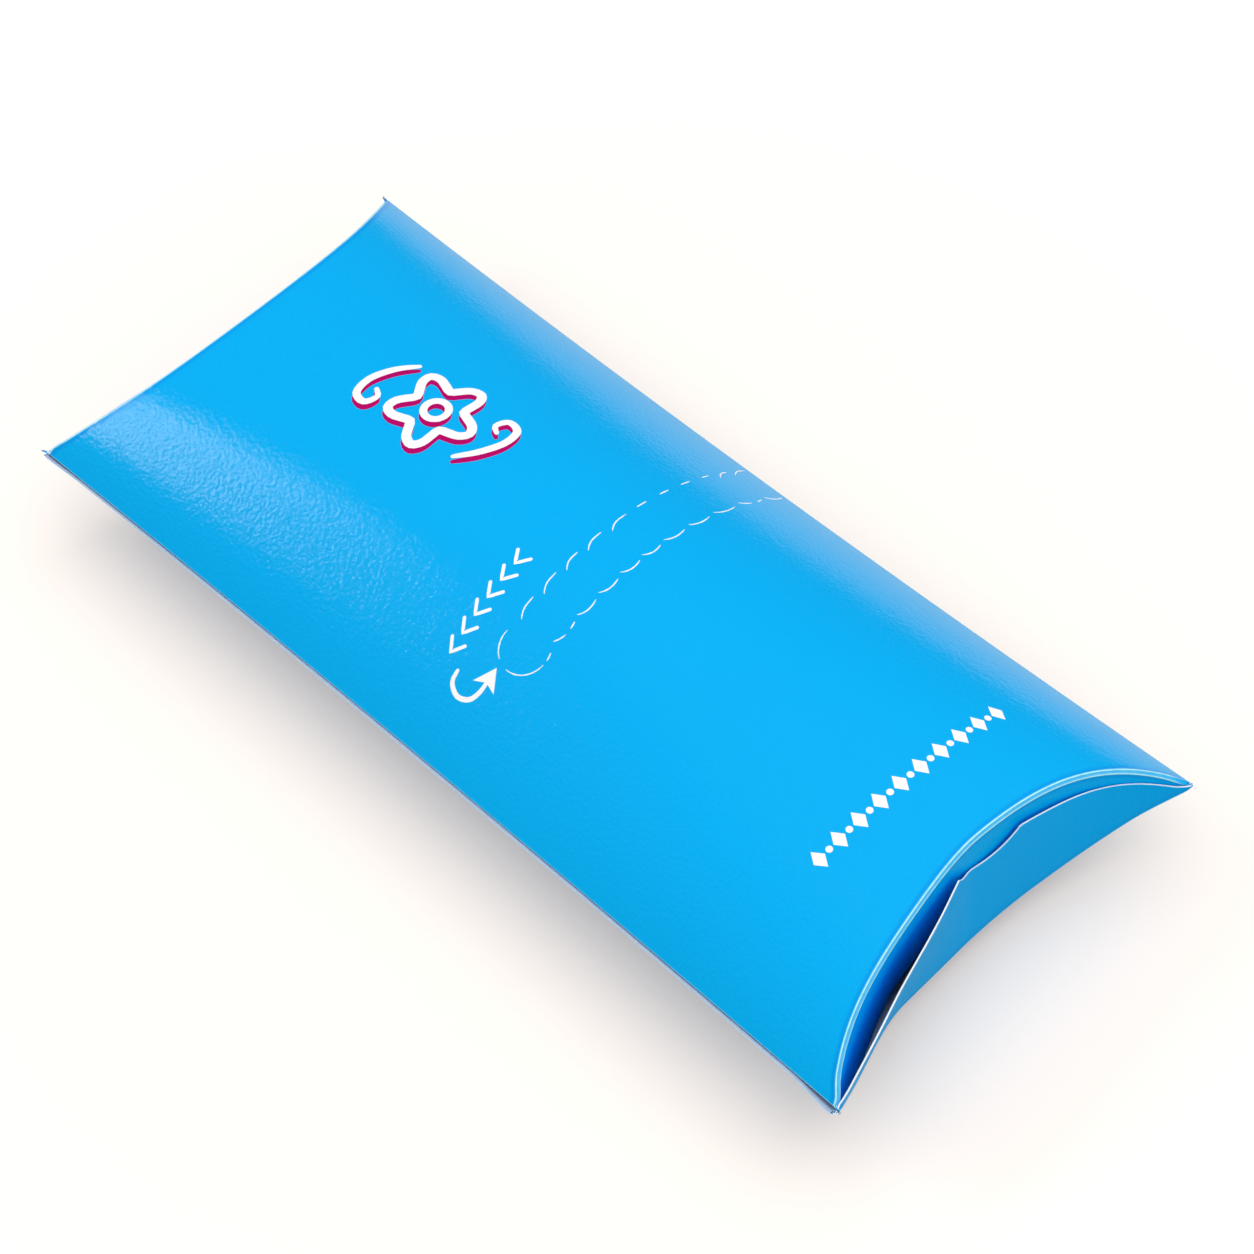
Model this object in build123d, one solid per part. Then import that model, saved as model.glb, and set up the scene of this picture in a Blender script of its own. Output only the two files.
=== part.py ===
from build123d import *
import math
import os

# Pillow box folded from one die-cut blank of coated board, closed and lying on its belly.
# X runs along the box, Y across it and Z up. Everything is drawn about the plane of the side
# creases and raised at the end, so that the origin lies under the middle of the belly.

# Closed box
box_length = 240.0  # between the points where the side creases meet the end creases
end_width = 100.2  # across the side creases at their ends
waist_pinch = 2.6  # how much narrower the box is at mid-length
end_rise = 15.9  # crown of a panel above the side creases, at its end creases
waist_rise = 21.5  # the same at mid-length
end_fullness_share = 0.6  # how square-shouldered the crown is at the ends
waist_fullness_share = 0.1  # and at mid-length
shoulder_share = 0.5  # where the arcs of an end crease meet, on the way to its tips
station_shares = (-1, -0.85, -0.6, -0.35, -0.12, 0.12, 0.35, 0.6, 0.85, 1)  # of the sections
board = 0.45  # thickness of the coated board
belly_flat = 0.2  # depth to which the belly is worn flat where it rests

# End flaps
fold_gap = 0.3  # slit between a panel and its flap, and between nested flaps
outer_reach = 12.4  # free edge of an outer flap above the side creases
inner_reach = 4.0  # free edge of an inner flap below the side creases
edge_fullness_share = 0.4  # how square-shouldered a free edge is
corner_drop = 0.6  # how far an outer flap's free edge ends below the side creases
notch_width = 19.0  # thumb notch in the free edge of an outer flap
notch_depth = 4.2
notch_offset = 6.0  # its centre, towards +Y

# Glue flap inside the seam at -Y
glue_flap_width = 14.0
glue_flap_setback = 10.0  # from the tips to the ends of the flap, at the seam
glue_flap_taper = 12.0  # how much shorter each end is at the flap's inner edge
glue_line = 0.1  # film of glue

# Tear strip, with places across the box measured over the board from the crown
strip_centre = 5.8  # towards +X, where the strip crosses the crown
strip_turn = 2.7  # degrees out of square
strip_half_width = 4.2  # to the cusps between two scallops
scallop_height = 1.5
scallop_pitch = 7.2
scallop_start = -18.6
tab_centre = -23.0
tab_radius = 5.6
strip_gap = 0.3  # slit round the strip

overrun = 2.0  # how far a cutting body runs past what it cuts

# Derived places
waist_width = end_width - waist_pinch
outer_tip = box_length / 2
end_half_width = end_width / 2
end_slope = 2 * (1 + end_fullness_share) * end_rise / end_half_width
nest = (board + fold_gap) * math.hypot(1, end_slope)  # inner flaps sit this far inside
inner_tip = outer_tip - nest
apex = outer_tip - end_rise  # where an end crease crosses the middle
belly = waist_rise - belly_flat  # height of the side creases above the table
deep = waist_rise + overrun  # taller than either half of the box
broad = end_width + overrun
waist_radius = ((waist_width / 2) ** 2 + waist_rise**2) / (2 * waist_rise)
waist_arc = waist_radius * math.asin(waist_width / 2 / waist_radius)


def half_width(x):
    bow = (x / outer_tip) ** 2
    return (waist_width + (end_width - waist_width) * bow) / 2


def swell(x):
    # 1 at mid-length, falling to 0 at the apex of an end crease
    return 1 - (x / apex) ** 2


def half_height(x):
    return end_rise + (waist_rise - end_rise) * swell(x)


def fullness(x):
    return end_fullness_share + (waist_fullness_share - end_fullness_share) * swell(x)


def crown(half, rise, full, foot=0):
    # poles of the curve rise * (1 - s^2) * (1 + full * s^2), where s is -1 to 1 across
    shoulder = rise * (1 + full)
    middle = rise * (1 - full) * 4 / 3
    return [(-half, foot), (-half / 2, shoulder), (0, middle), (half / 2, shoulder), (half, foot)]


def lens(x, depth):
    # section of the closed box at x, drawn depth inside its outer skin
    slope = 2 * (1 + fullness(x)) * half_height(x) / half_width(x)
    half = half_width(x) - depth * math.hypot(1, 1 / slope)
    poles = crown(half, half_height(x) - depth, fullness(x))
    top = Bezier(*poles)
    bottom = Bezier(*[(side, -up) for side, up in poles])
    return Plane(origin=(x, 0, 0), x_dir=(0, 1, 0), z_dir=(1, 0, 0)) * make_face([top, bottom])


def pillow(depth, past=0):
    # solid pillow, depth inside the outer skin and past the tips
    tip = outer_tip + past
    stations = [-tip, *[apex * share for share in station_shares], tip]
    return loft([lens(x, depth) for x in stations], ruled=True)


def upright(face):
    # prism of a plan outline through the whole height
    return extrude(face, deep, dir=(0, 0, 1), both=True)


def above(level):
    return Pos(0, 0, level + deep / 2) * Box(box_length, broad, deep)


def below(level):
    return Pos(0, 0, level - deep / 2) * Box(box_length, broad, deep)


def scoop(tip):
    # plan area outside the +X end crease, which is drawn as three arcs
    side = end_half_width * shoulder_share
    fall = (1 - shoulder_share**2) * (1 + end_fullness_share * shoulder_share**2)
    shoulder = tip - end_rise * fall
    middle = ThreePointArc((shoulder, -side), (tip - end_rise, 0), (shoulder, side))
    upper = TangentArc((shoulder, side), (tip, end_half_width), tangent=middle % 1)
    lower = mirror(upper, about=Plane.XZ)
    past = outer_tip + overrun
    rest = Polyline(upper @ 1, (past, end_half_width), (past, -end_half_width), lower @ 1)
    return make_face([middle, upper, lower, rest])


def panel(half_shell, tip):
    end_cut = upright(offset(scoop(tip), board + fold_gap))
    return half_shell - end_cut - mirror(end_cut, about=Plane.YZ)


def free_edge(reach):
    # area of the YZ plane under the free edge of a flap that points up
    edge = crown(end_half_width, reach, edge_fullness_share, -corner_drop)
    rest = Polyline(edge[-1], (end_half_width, -deep), (-end_half_width, -deep), edge[0])
    return make_face([Bezier(*edge), rest])


def thumb_notch():
    # round scoop as wide and as deep as its sizes say
    radius = ((notch_width / 2) ** 2 + notch_depth**2) / (2 * notch_depth)
    return Pos(notch_offset, outer_reach - notch_depth + radius) * Circle(radius)


def flap(skin, tip, outline):
    # wall that stands on the +X end crease, as high as its outline
    wall = upright(offset(scoop(tip), board) - scoop(tip))
    return skin & wall & extrude(Plane.YZ * outline, outer_tip + overrun)


def glue_flap(lining):
    # turned in from the edge of the top panel and stuck under the bottom panel
    long_half = outer_tip - glue_flap_setback
    short_half = long_half - glue_flap_taper
    inner_end = glue_flap_width - half_width(short_half)
    inner_middle = glue_flap_width - half_width(0)
    inner_edge = ThreePointArc((short_half, inner_end), (0, inner_middle), (-short_half, inner_end))
    rest = Polyline(inner_edge @ 1, (-long_half, -broad / 2), (long_half, -broad / 2), inner_edge @ 0)
    return lining & below(board) & upright(make_face([inner_edge, rest]))


def plan_place(over):
    # place across the box in plan of a point measured over the board from the crown
    return waist_radius * math.sin(over / waist_radius)


def strip_outline(gap):
    # round tab and a row of scallops down both sides, drawn gap outside the strip
    side = strip_half_width + gap
    lobe = tab_radius + gap
    middle = plan_place(tab_centre)
    rows = math.ceil((waist_arc - scallop_start) / scallop_pitch)
    cusps = [plan_place(scallop_start + row * scallop_pitch) for row in range(rows + 1)]
    edges = [ThreePointArc((-lobe, middle), (0, middle - lobe), (lobe, middle))]
    for hand in (-1, 1):
        edges.append(Line((hand * lobe, middle), (hand * side, cusps[0])))
        for low, high in zip(cusps, cusps[1:]):
            crest = (hand * (side + scallop_height), (low + high) / 2)
            edges.append(ThreePointArc((hand * side, low), crest, (hand * side, high)))
    edges.append(Line((-side, cusps[-1]), (side, cusps[-1])))
    return Pos(strip_centre, 0) * Rot(0, 0, strip_turn) * make_face(edges)


def build():
    skin = pillow(0)
    shell = skin - pillow(board, overrun)
    lining = pillow(board + glue_line) - pillow(board + glue_line + board, overrun)
    top = shell & above(0)
    bottom = shell & below(0) - below(-belly)
    outer_flap = flap(skin, outer_tip, free_edge(outer_reach) - thumb_notch())
    inner_flap = flap(skin, inner_tip, mirror(free_edge(inner_reach), about=Plane.XZ))
    return {
        "top_panel": panel(top, inner_tip) - upright(strip_outline(strip_gap)),
        "bottom_panel": panel(bottom, outer_tip),
        "glue_flap": glue_flap(lining),
        "near_outer_flap": outer_flap,
        "near_inner_flap": inner_flap,
        "far_outer_flap": mirror(outer_flap, about=Plane.YZ),
        "far_inner_flap": mirror(inner_flap, about=Plane.YZ),
        "tear_strip": shell & above(strip_gap) & upright(strip_outline(0)),
    }


os.makedirs("parts", exist_ok=True)
for node, part in build().items():
    export_step(Pos(0, 0, belly) * part, f"parts/{node}.step")
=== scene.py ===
import math

import bpy
import numpy as np
from mathutils import Matrix, Vector, geometry

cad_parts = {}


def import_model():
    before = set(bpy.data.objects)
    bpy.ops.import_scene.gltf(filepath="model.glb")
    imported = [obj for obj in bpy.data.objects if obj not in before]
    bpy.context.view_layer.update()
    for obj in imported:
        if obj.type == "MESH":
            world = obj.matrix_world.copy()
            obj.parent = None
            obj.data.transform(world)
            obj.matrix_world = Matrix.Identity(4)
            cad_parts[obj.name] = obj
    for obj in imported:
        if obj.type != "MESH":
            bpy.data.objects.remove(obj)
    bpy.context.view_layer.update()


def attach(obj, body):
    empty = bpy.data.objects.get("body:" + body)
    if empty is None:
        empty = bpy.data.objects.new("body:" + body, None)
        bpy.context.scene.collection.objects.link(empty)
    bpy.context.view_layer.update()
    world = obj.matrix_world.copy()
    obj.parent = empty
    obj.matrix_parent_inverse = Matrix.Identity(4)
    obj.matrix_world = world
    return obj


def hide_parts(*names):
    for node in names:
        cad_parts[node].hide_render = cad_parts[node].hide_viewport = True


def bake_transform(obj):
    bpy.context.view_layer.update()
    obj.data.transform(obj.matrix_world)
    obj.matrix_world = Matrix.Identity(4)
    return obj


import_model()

mm = 0.001

# Form of the closed box, in millimetres, about the plane of its side creases
form = {
    "length": 240.0,
    "endWidth": 100.2,
    "waistWidth": 97.6,
    "endRise": 15.9,
    "waistRise": 21.5,
    "endFullness": 0.6,
    "waistFullness": 0.1,
    "innerTip": 118.93,
    "board": 0.45,
    "belly": 21.3,  # height of the side creases above the floor
    "creaseSag": 0.83,  # of the side creases at mid-length
}
tip = form["length"] / 2
apex = tip - form["endRise"]
board = form["board"]


def smooth(value, low, high):
    t = np.clip((value - low) / (high - low), 0, 1)
    return t * t * (3 - 2 * t)


def bump(value, centre, reach):
    return np.clip(1 - ((value - centre) / reach) ** 2, 0, None) ** 2


def halfWidth(x):
    bow = (x / tip) ** 2
    return (form["waistWidth"] + (form["endWidth"] - form["waistWidth"]) * bow) / 2


def swell(x):
    return 1 - (x / apex) ** 2


def rise(x):
    return form["endRise"] + (form["waistRise"] - form["endRise"]) * swell(x)


def fullness(x):
    return form["endFullness"] + (form["waistFullness"] - form["endFullness"]) * swell(x)


def crown(s, full):
    return (1 - s * s) * (1 + full * s * s)


def sag(x):
    return -form["creaseSag"] * (1 - (x / tip) ** 2)


def stack(*parts):
    return np.stack(np.broadcast_arrays(*parts), axis=-1).astype(float)


# Seam at -Y: the bottom panel's cut edge lies over the fold of the top panel
seam = {
    "inset": 0.1,
    "insetFrom": 0.85,
    "shift": 0.42,
    "proud": 0.05,
    "slant": 70.0,
    "gap": 0.85,  # by which the cut edge springs off at the near tip
    "gapAlong": (106.0, 118.0),
    "gapAcross": 0.9,
    "gapOut": 0.8,
    "gapDown": 0.5,
    "farShare": 0.35,
    "shutFrom": 117.5,  # the very corner stays shut
    "shutReach": 1.4,
    "shutShare": 0.85,
    "shutPower": 2.2,
    "tipDrop": 0.7,  # of the bottom panel at the +Y tips
    "dropAlong": (95, 118),
    "dropAcross": (0.8, 0.97),
    "dropEnd": (-0.9972, -0.9955),
    "rim": 0.17,
}


def topSkin(x, s):
    inset = seam["inset"] * smooth(-s, seam["insetFrom"], 1)
    return stack(x, halfWidth(x) * s + inset, rise(x) * crown(s, fullness(x)) + sag(x))


def bottomSkin(x, s, sprung=1.0):
    share = smooth(np.abs(x), *seam["gapAlong"]) * np.where(x < 0, seam["farShare"], 1.0)
    corner = np.clip((np.abs(x) - seam["shutFrom"]) / seam["shutReach"], 0, 1)
    shut = 1 - seam["shutShare"] * corner ** seam["shutPower"]
    spring = sprung * seam["gap"] * share * shut * smooth(-s, seam["gapAcross"], 1)
    drop = seam["tipDrop"] * smooth(np.abs(x), *seam["dropAlong"]) * smooth(s, *seam["dropAcross"])
    drop = drop * smooth(-s, *seam["dropEnd"])
    z = -rise(x) * crown(s, fullness(x)) + sag(x) * s * s - spring * seam["gapDown"] - drop
    return stack(x, halfWidth(x) * s - spring * seam["gapOut"], np.maximum(z, -form["belly"]))


def unit(v):
    return v / np.maximum(np.linalg.norm(v, axis=-1, keepdims=True), 1e-12)


nudge = {"x": 0.05, "s": 0.0005, "crease": 0.001, "share": 0.005}  # steps for slopes


def skinNormal(skin, x, s, side):
    along = skin(x + nudge["x"], s) - skin(x - nudge["x"], s)
    across = skin(x, s + nudge["s"]) - skin(x, s - nudge["s"])
    return unit(np.cross(along, across)) * side


# How the end creases of the used box stray outwards, with bumps as height, place across and reach
nearStray = {"bulge": (2.7, -0.5, 0.62), "middle": 0.75, "seamReach": 1.4, "reach": 0.7}
farStray = {"middle": 0.55, "shoulders": 0.95, "reach": 0.8}
lowStray = {"bumps": ((1.15, 0.58, 0.62), (0.8, -0.2, 0.55), (2.5, -0.8, 0.42)), "farShare": 0.5}
cornerFrom = 0.9  # place across where the upper creases reach further
tipRound = {"from": 0.955, "power": 2.5, "outer": 1.1, "inner": 0.15, "innerFold": 0.6}  # blunt corners


def blunt(s):
    return np.clip((np.abs(s) - tipRound["from"]) / (1 - tipRound["from"]), 0, 1) ** tipRound["power"]


def topCrease(s, end):
    base = form["innerTip"] - form["endRise"] * crown(s, form["endFullness"])
    corner = smooth(np.abs(s), cornerFrom, 1)
    if end > 0:
        height, place, reach = nearStray["bulge"]
        stray = height * bump(s, place, reach) + nearStray["middle"] * (1 - s * s)
        stray = stray + np.where(s < 0, nearStray["seamReach"], nearStray["reach"]) * corner
    else:
        stray = farStray["middle"] + farStray["shoulders"] * s * s + farStray["reach"] * corner
    rounding = np.where(s > 0, tipRound["innerFold"], tipRound["inner"]) * blunt(s)
    return end * (base + stray - rounding)


def bottomCrease(s, end):
    base = tip - form["endRise"] * crown(s, form["endFullness"])
    stray = sum(height * bump(s, place, reach) for height, place, reach in lowStray["bumps"]) * (1 - s**8)
    share = 1 if end > 0 else lowStray["farShare"]
    return end * (base + share * stray - tipRound["outer"] * blunt(s))


# Folded edges: two rounded shoulders with a narrow sunk band between them
endFold = {"band": 0.85, "sunk": 0.06, "groove": 0.04}
sideFold = {"band": 0.55, "sunk": 0.0, "groove": 0.0}
foldShape = {
    "band": ((0, 0.14), (0.4, 0.14), (0.68, 0.2), (0.86, 0.85)),  # share of half the band, wear with painted highlight
    # distance behind the band, height and wear with painted highlight, where the groove's depth is a share
    "rim": ((0.0, -0.022, 1.0), (0.12, -0.006, 0.9)),
    "groove": ((0.24, 0.25, 0.1), (0.45, 0.8, 0), (0.7, 1, 0), (1, 0.55, 0), (1.45, 0.08, 0), (2, 0, 0)),
}


def foldRows(fold, turn):
    # distance from the ideal crease, rise above the skin and wear with painted highlight, from the band's middle
    # inwards
    half = fold["band"] / (2 * np.cos(turn / 2))
    x0 = half / 2 * (1 - np.cos(turn))
    y0 = -half / 2 * np.sin(turn)
    rows = []
    for q, wearAndHighlight in foldShape["band"]:
        sunk = fold["sunk"] * (1 - q * q)
        height = y0 * (1 - q) - sunk * np.cos(turn / 2)
        rows.append((x0 + (half - x0) * q - sunk * np.sin(turn / 2), height, wearAndHighlight))
    for step, height, wearAndHighlight in foldShape["rim"]:
        rows.append((half + step, height + 0 * half, wearAndHighlight))
    for step, depth, wearAndHighlight in foldShape["groove"]:
        rows.append((half + step, -depth * fold["groove"] + 0 * half, wearAndHighlight))
    return rows


columnPlan = {"turn": math.radians(90), "even": 75, "notch": [-0.0687, -0.055, 0.299, 0.3127], "clear": 0.006}


def sideColumns():
    # places across, dense at the side folds, at the notch's corners and evenly between
    slant = halfWidth(0) * math.hypot(1, 1)
    steps = [(1 - r[0] / slant, r[1], r[2]) for r in foldRows(sideFold, columnPlan["turn"])]
    inner = steps[-1][0]
    even = np.linspace(-inner, inner, columnPlan["even"])[1:-1]
    even = [v for v in even if min(abs(v - n) for n in columnPlan["notch"]) > columnPlan["clear"]]
    middle = [(v, 0.0, 0.0) for v in sorted([*even, *columnPlan["notch"]])]
    left = [(-s, y, w) for s, y, w in steps]
    right = [(s, y, w) for s, y, w in reversed(steps)]
    columns = left + middle + right
    return [np.array([c[k] for c in columns]) for k in range(3)]


colS, colDrop, colWearAndHighlight = sideColumns()
seamShift = seam["shift"] / (halfWidth(0) * math.sqrt(2))  # the top panel's fold sits behind the cut edge


def creaseFrame(skin, crease, side, end, s):
    # directions along and off an end crease, and how far a step along x leads away from it
    x, step = crease(s, end), nudge["crease"]
    along = unit(skin(crease(s + step, end), s + step) - skin(crease(s - step, end), s - step))
    normal = skinNormal(skin, x, s, side)
    out = unit(np.cross(along, normal))
    out = out * np.sign(out[..., :1] * end)
    run = unit(skin(x + end * nudge["x"], s) - skin(x - end * nudge["x"], s))
    return along, normal, np.sum(out * run, axis=-1)


# Outer flap's free edge, thumb notch and how far it stands off the inner flap
outer = {
    "reach": 12.4,
    "edgeFullness": 0.4,
    "footDrop": 0.35,
    "notchCentre": 6.8,
    "notchWidth": 18.8,
    "notchDepth": 4.0,
    "notchDrop": 0.8,
    "slump": 1.4,
    "slumpFrom": (0.0, 0.5),
    "slumpTo": (0.93, 1),
    "standOff": 7.0,
    "standOffAt": -0.58,
    "standOffReach": (0.4, 0.62),  # towards the seam and towards the notch
    "standOffPower": 2.2,
    "standOffEase": (0.004, 0.0005),
    "standOffTip": 0.07,
    "turnAt": 0.03,  # share of the wall at which its turn from the panel is taken
    "turnMost": 0.95,
    "ajar": (0.14, 0.35, 0.5),  # beyond the notch: share of the stand-off, place across and reach
    "farShare": 0.35,
    "sink": 0.1,  # of the free edge, as a share of the stand-off
    "footEnd": 0.9955,
    "least": 0.1,
    "tipHeight": (0.6, 0.25),  # at the seam and at the fold
    "tipReach": 0.012,
    "bend": 1.25,
}
hidden = {
    "reach": 4.0,
    "edgeFullness": 0.4,
    "deeper": (7.0, -0.75, 0.55),  # height, place across and reach
    "within": 0.97,
    "clear": 0.7,
    "least": 0.5,
    "behind": 0.9,
    "lean": 0.9,
    "leanTip": 0.03,
}


def standOff(s, end):
    reach = np.where(s < outer["standOffAt"], *outer["standOffReach"])
    lift = 1 - (np.abs(s - outer["standOffAt"]) / reach) ** outer["standOffPower"]
    ease, base = outer["standOffEase"]
    lift = (lift + np.sqrt(lift * lift + ease)) / 2 - base
    share, place, wide = outer["ajar"]
    lift = lift * smooth(1 - np.abs(s), 0.0, outer["standOffTip"]) + share * bump(s, place, wide)
    return outer["standOff"] * lift * (1 if end > 0 else outer["farShare"])


def freeEdge(s):
    foot = ((1 - s) / 2) ** 4 + ((1 + s) / 2) ** 4
    slump = outer["slump"] * smooth(s, *outer["slumpFrom"]) * (1 - smooth(s, *outer["slumpTo"]))
    edge = outer["reach"] * crown(s, outer["edgeFullness"]) - outer["footDrop"] * foot - slump
    half = outer["notchWidth"] / 2
    radius = (half**2 + outer["notchDepth"] ** 2) / (2 * outer["notchDepth"])
    y = s * form["endWidth"] / 2 - outer["notchCentre"]
    lowest = outer["reach"] - outer["notchDrop"] - outer["notchDepth"]
    arc = lowest + radius - np.sqrt(np.maximum(radius**2 - y**2, 0.01))
    return np.where(np.abs(y) < half, np.minimum(edge, arc), edge)


def outerWall(s, share, end):
    # share 0 is the crease and 1 the free edge
    x = bottomCrease(s, end)
    foot = bottomSkin(x, s)
    foot[..., 2] = bottomSkin(x, np.minimum(s, outer["footEnd"]))[..., 2]
    tipHeight = np.where(s < 0, *outer["tipHeight"])
    least = outer["least"] + tipHeight * smooth(1 - np.abs(s), 0, outer["tipReach"])
    top = np.maximum(freeEdge(s) - outer["sink"] * standOff(s, end), foot[..., 2] + least)
    plan = end * (tip - form["endRise"] * crown(s, form["endFullness"]) - tipRound["outer"] * blunt(s))
    lean = ((plan + end * standOff(s, end)) - x) * np.clip(share, 0, 1.2) ** outer["bend"]
    return stack(x + lean, foot[..., 1], foot[..., 2] + (top - foot[..., 2]) * share)


def innerWall(s, share, end):
    x = topCrease(s, end)
    foot = topSkin(x, s)
    extra, place, reach = hidden["deeper"]
    low = -hidden["reach"] * crown(s, hidden["edgeFullness"]) - extra * bump(s, place, reach)
    floor = -hidden["within"] * form["endRise"] * crown(s, form["endFullness"]) + hidden["clear"]
    low = np.minimum(np.maximum(low, floor), foot[..., 2] - hidden["least"])
    plan = bottomCrease(s, end) - end * hidden["behind"]
    lean = (plan - x) * hidden["lean"] * smooth(1 - np.abs(s), 0, hidden["leanTip"])
    lean = lean * np.abs(np.clip(share, 0, 1))
    return stack(x + lean, foot[..., 1], foot[..., 2] + (low - foot[..., 2]) * share)


def wallNormal(wall, s, share, end):
    along = wall(s + nudge["s"], share, end) - wall(s - nudge["s"], share, end)
    up = wall(s, share + nudge["share"], end) - wall(s, share - nudge["share"], end)
    n = unit(np.cross(along, up))
    return n * np.sign(n[..., :1] * end)


def foldTurn(normal, wall, s, end):
    # angle between a panel and its flap at their crease
    most = outer["turnMost"]
    return np.arccos(np.clip(np.sum(normal * wallNormal(wall, s, outer["turnAt"], end), axis=-1), -most, most))


print("stage: forms")


def gridNormals(points, facing):
    du = np.gradient(points, axis=0)
    dv = np.gradient(points, axis=1)
    n = unit(np.cross(du, dv))
    return n * np.where(np.sum(n * facing, axis=-1, keepdims=True) < 0, -1, 1)


def added(name, data):
    obj = bpy.data.objects.new(name, data)
    bpy.context.scene.collection.objects.link(obj)
    return obj


def gridFaces(rows, columns):
    i, j = np.meshgrid(np.arange(rows - 1), np.arange(columns - 1), indexing="ij")
    a = i * columns + j
    return np.stack([a, a + 1, a + columns + 1, a + columns], axis=-1).reshape(-1, 4).tolist()


def sheet(name, points, normals, inner, faces, faceMaterials, materials, wearAndHighlight, groove=None):
    # closed sheet of board: printed skin, bare inside and a cut edge all round
    count = len(points)
    agree = {3: 0.0, 4: 0.0}  # above 0 where triangles or quads run the way round that the normals ask
    for face in faces:
        p = points[face]
        n = sum(np.cross(p[k] - p[0], p[k + 1] - p[0]) for k in range(1, len(face) - 1))
        agree[len(face)] += np.dot(n, normals[face].mean(axis=0))
    fixed = [face if agree[len(face)] >= 0 else face[::-1] for face in faces]
    edges = dict.fromkeys((a, b) for face in fixed for a, b in zip(face, face[1:] + face[:1]))
    border = [(a, b) for a, b in edges if (b, a) not in edges]
    skins = fixed + [[v + count for v in reversed(face)] for face in fixed]
    rim = [[b, a, a + count, b + count] for a, b in border]
    slots = [*faceMaterials, *[1] * len(fixed), *[2] * len(border)]
    verts = np.concatenate([points, inner])
    placed = verts * mm
    placed[:, 2] += form["belly"] * mm
    mesh = bpy.data.meshes.new(name)
    mesh.from_pydata(placed.tolist(), [], skins + rim)
    for material in materials:
        mesh.materials.append(material)
    mesh.polygons.foreach_set("material_index", slots)
    mesh.polygons.foreach_set("use_smooth", [True] * len(slots))
    both = np.concatenate([normals, -normals])
    loops = [both[v] for face in skins for v in face]
    for face in rim:
        p = verts[face]
        loops += [unit(np.cross(p[2] - p[0], p[3] - p[1]))] * 4
    mesh.normals_split_custom_set([tuple(n) for n in loops])
    for key, values in (("wearAndHighlight", wearAndHighlight), ("groove", groove)):
        layer = mesh.attributes.new(key, "FLOAT", "POINT")
        full = np.zeros(len(verts)) if values is None else np.concatenate([values, values * 0])
        layer.data.foreach_set("value", full)
    mesh.update()
    return added(name, mesh)


def gridSheet(name, points, normals, inner, ink, materials, wearAndHighlight, groove=None):
    rows, columns = points.shape[:2]
    grids = [grid.reshape(-1, 3) for grid in (points, normals, inner)]
    inks = [ink] * ((rows - 1) * (columns - 1))
    groove = groove if groove is None else groove.reshape(-1)
    return sheet(name, *grids, gridFaces(rows, columns), inks, materials, wearAndHighlight.reshape(-1), groove)


# Shader groups
sockets = {float: "NodeSocketFloat", int: "NodeSocketInt"}


def newGroup(name, inputs, outputs, kind="ShaderNodeTree", result="NodeSocketFloat"):
    # an input is given as its start value, or else as its type
    tree = bpy.data.node_groups.new(name, kind)
    for label, value in inputs.items():
        socket = tree.interface.new_socket(label, in_out="INPUT", socket_type=sockets.get(type(value), value))
        if type(value) in sockets:
            socket.default_value = value
    for label in outputs:
        tree.interface.new_socket(label, in_out="OUTPUT", socket_type=result)
    return tree, tree.nodes.new("NodeGroupInput"), tree.nodes.new("NodeGroupOutput")


def node(tree, kind, entries=None, **values):
    made = tree.nodes.new(kind)
    for key, value in values.items():
        if key.startswith("in_"):
            made.inputs[int(key[3:])].default_value = value
        else:
            setattr(made, key, value)
    for label, value in (entries or {}).items():
        made.inputs[label].default_value = value
    return made


def maths(tree, operation, **values):
    return node(tree, "ShaderNodeMath", operation=operation, **values)


def mixed(tree, first, second):
    # mix of two colours, where None stands for one that comes by wire
    made = node(tree, "ShaderNodeMix", data_type="RGBA")
    for slot, colour in ((6, first), (7, second)):
        if colour:
            made.inputs[slot].default_value = (*colour, 1)
    return made


def wire(tree, *pairs):
    # each pair is a node, its output, the next node and its input
    for source, output, target, entry in pairs:
        tree.links.new(source.outputs[output], target.inputs[entry])


def coatGrain():
    # orange-peel height, tone drift and soft scuffs of a coated board
    inputs = {"Peel Scale": 1600.0, "Drift Scale": 14.0, "Scuff": 0.3}
    tree, inp, out = newGroup("coatGrain", inputs, ("Height", "Drift", "Scuff"))
    coords = node(tree, "ShaderNodeTexCoord")
    peel = node(tree, "ShaderNodeTexNoise", in_3=3.0, in_4=0.55)
    fine = node(tree, "ShaderNodeTexVoronoi", feature="SMOOTH_F1")
    drift = node(tree, "ShaderNodeTexNoise", in_3=2.0)
    scuff = node(tree, "ShaderNodeTexNoise", in_2=1.0, in_3=6.0, in_4=0.7)
    stretch = node(tree, "ShaderNodeMapping", in_2=(0.2, 0.1, 0.6), in_3=(40.0, 260.0, 120.0))
    scale = maths(tree, "MULTIPLY", in_1=0.7)
    add = maths(tree, "ADD")
    ramp = node(tree, "ShaderNodeMapRange", in_1=0.56, in_2=0.72)
    part = maths(tree, "MULTIPLY")
    wire(tree, *((coords, "Object", target, "Vector") for target in (peel, fine, drift, stretch)))
    wire(
        tree,
        (stretch, "Vector", scuff, "Vector"), (inp, "Peel Scale", peel, "Scale"), (inp, "Peel Scale", scale, 0),
        (scale, 0, fine, "Scale"), (inp, "Drift Scale", drift, "Scale"), (peel, 0, add, 0), (fine, "Distance", add, 1),
        (scuff, 0, ramp, 0), (ramp, 0, part, 0), (inp, "Scuff", part, 1),
        (add, 0, out, "Height"), (drift, 0, out, "Drift"), (part, 0, out, "Scuff"),
    )
    return tree


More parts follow.
